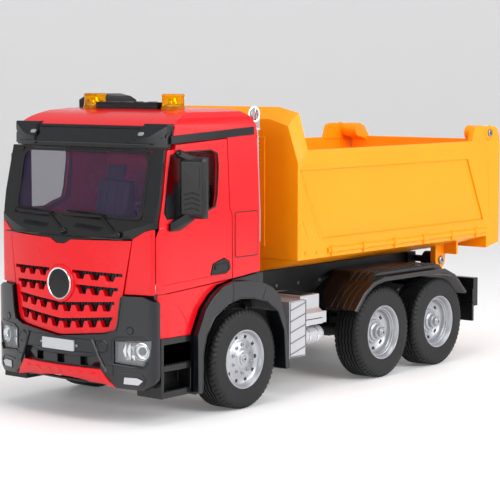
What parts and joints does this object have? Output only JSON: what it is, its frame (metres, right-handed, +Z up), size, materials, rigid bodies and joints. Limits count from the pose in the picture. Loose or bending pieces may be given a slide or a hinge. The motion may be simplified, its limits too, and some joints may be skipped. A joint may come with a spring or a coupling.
{
  "type": "toy dump truck",
  "caption": "Toy dump truck with a red cab, opening doors, steered front wheels, tandem rear axles and an orange bed that tips to the rear under a swinging tailgate.",
  "frame": {"origin": "on the floor, under the middle of the overall length and width", "axes": "+X forward along the length, +Y to the left side, +Z up"},
  "size_m": [0.3944, 0.166, 0.1966],
  "materials": {
    "red_plastic": "glossy moulded plastic",
    "orange_plastic": "semi-gloss moulded plastic",
    "dark_grey_plastic": "satin moulded plastic",
    "black_plastic": "satin moulded plastic",
    "black_chassis": "fine-grained moulded plastic",
    "silver_plastic": "silver paint on plastic",
    "chrome_trim": "bright plating",
    "rim_silver": "bright silver",
    "steel_pin": "zinc plated steel",
    "tyre_rubber": "soft rubber",
    "window_tint": "tinted clear plastic",
    "lamp_clear": "clear lens",
    "amber_lens": "translucent amber lens",
    "interior_grey": "fine-grained moulded plastic"
  },
  "bodies": {
    "chassis": {"chassis_frame": "black_chassis", "front_axle_beam": "black_chassis", "rear_axles": "black_chassis", "leaf_springs": "black_plastic", "battery_box": "black_chassis", "gearbox": "black_chassis", "front_bumper": "dark_grey_plastic", "headlamps": "lamp_clear", "skid_plate": "red_plastic", "cab_steps": "black_plastic", "front_arches": "dark_grey_plastic", "side_locker": "silver_plastic", "fuel_tank": "silver_plastic", "rear_mudguards": "dark_grey_plastic", "tail_lamp_bar": "black_plastic", "exhaust_stack": "chrome_trim", "cab_mounts": "black_chassis", "cab_shell": "red_plastic", "cab_floor": "interior_grey", "roof": "red_plastic", "grille_panel": "red_plastic", "corner_panels": "red_plastic", "windscreen_surround": "black_plastic", "windscreen": "window_tint", "sun_visor": "dark_grey_plastic", "roof_light_bar": "black_plastic", "beacons": "amber_lens", "dashboard": "interior_grey", "seats": "interior_grey", "steering_wheel": "black_plastic"},
    "door_l": {"door_left": "red_plastic", "door_glass_left": "window_tint", "mirror_left": "black_plastic"},
    "door_r": {"door_right": "red_plastic", "door_glass_right": "window_tint", "mirror_right": "black_plastic"},
    "knuckle_l": {"knuckle_left": "steel_pin"},
    "knuckle_r": {"knuckle_right": "steel_pin"},
    "tie_rod_link": {"tie_rod": "steel_pin"},
    "wheel_front_l": {"rim_front_left": "rim_silver", "tyre_front_left": "tyre_rubber"},
    "wheel_front_r": {"rim_front_right": "rim_silver", "tyre_front_right": "tyre_rubber"},
    "wheel_mid_l": {"rim_mid_left": "rim_silver", "tyre_mid_left": "tyre_rubber"},
    "wheel_mid_r": {"rim_mid_right": "rim_silver", "tyre_mid_right": "tyre_rubber"},
    "wheel_rear_l": {"rim_rear_left": "rim_silver", "tyre_rear_left": "tyre_rubber"},
    "wheel_rear_r": {"rim_rear_right": "rim_silver", "tyre_rear_right": "tyre_rubber"},
    "bed": {"bed_tub": "orange_plastic", "bed_underframe": "orange_plastic"},
    "gate": {"tailgate": "orange_plastic"},
    "barrel": {"lift_barrel": "dark_grey_plastic"},
    "rod": {"lift_rod": "chrome_trim"}
  },
  "joints": [
    {"name": "steer_left", "type": "hinge", "parent": "chassis", "child": "knuckle_l", "pos_m": [0.1046, 0.05, 0.0315], "axis": [0, 0, 1], "range_deg": [-25, 25]},
    {"name": "steer_right", "type": "hinge", "parent": "chassis", "child": "knuckle_r", "pos_m": [0.1046, -0.05, 0.0315], "axis": [0, 0, 1], "range_deg": [-25, 25]},
    {"name": "tie_rod_shift", "type": "slide", "parent": "chassis", "child": "tie_rod_link", "axis": [0, 1, 0], "range_m": [-0.0048, 0.0048]},
    {"name": "front_left_spin", "type": "hinge", "parent": "knuckle_l", "child": "wheel_front_l", "pos_m": [0.1046, 0.0617, 0.0315], "axis": [0, 1, 0], "continuous": true},
    {"name": "front_right_spin", "type": "hinge", "parent": "knuckle_r", "child": "wheel_front_r", "pos_m": [0.1046, -0.0617, 0.0315], "axis": [0, 1, 0], "continuous": true},
    {"name": "mid_left_spin", "type": "hinge", "parent": "chassis", "child": "wheel_mid_l", "pos_m": [-0.0447, 0.0617, 0.0315], "axis": [0, 1, 0], "continuous": true},
    {"name": "mid_right_spin", "type": "hinge", "parent": "chassis", "child": "wheel_mid_r", "pos_m": [-0.0447, -0.0617, 0.0315], "axis": [0, 1, 0], "continuous": true},
    {"name": "rear_left_spin", "type": "hinge", "parent": "chassis", "child": "wheel_rear_l", "pos_m": [-0.1131, 0.0617, 0.0315], "axis": [0, 1, 0], "continuous": true},
    {"name": "rear_right_spin", "type": "hinge", "parent": "chassis", "child": "wheel_rear_r", "pos_m": [-0.1131, -0.0617, 0.0315], "axis": [0, 1, 0], "continuous": true},
    {"name": "door_left_swing", "type": "hinge", "parent": "chassis", "child": "door_l", "pos_m": [0.1798, 0.0677, 0.12], "axis": [0, 0, -1], "range_deg": [0, 60]},
    {"name": "door_right_swing", "type": "hinge", "parent": "chassis", "child": "door_r", "pos_m": [0.1798, -0.0677, 0.12], "axis": [0, 0, 1], "range_deg": [0, 60]},
    {"name": "bed_tip", "type": "hinge", "parent": "chassis", "child": "bed", "pos_m": [-0.1494, 0, 0.0716], "axis": [0, -1, 0], "range_deg": [0, 45]},
    {"name": "gate_swing", "type": "hinge", "parent": "bed", "child": "gate", "pos_m": [-0.1834, 0, 0.165], "axis": [0, 1, 0], "range_deg": [0, 70]},
    {"name": "barrel_tilt", "type": "hinge", "parent": "chassis", "child": "barrel", "pos_m": [0.0006, 0, 0.048], "axis": [0, 1, 0], "range_deg": [0, 8.8]},
    {"name": "rod_extend", "type": "slide", "parent": "barrel", "child": "rod", "axis": [-0.943, 0, 0.3328], "range_m": [0, 0.0338]}
  ],
  "couplings": [
    {"joint": "steer_right", "follows": "steer_left", "ratio": 1},
    {"joint": "tie_rod_shift", "follows": "steer_left", "m_per_rad": -0.0108},
    {"joint": "barrel_tilt", "follows": "bed_tip", "ratio": 0.1897},
    {"joint": "rod_extend", "follows": "bed_tip", "m_per_rad": 0.04225}
  ]
}
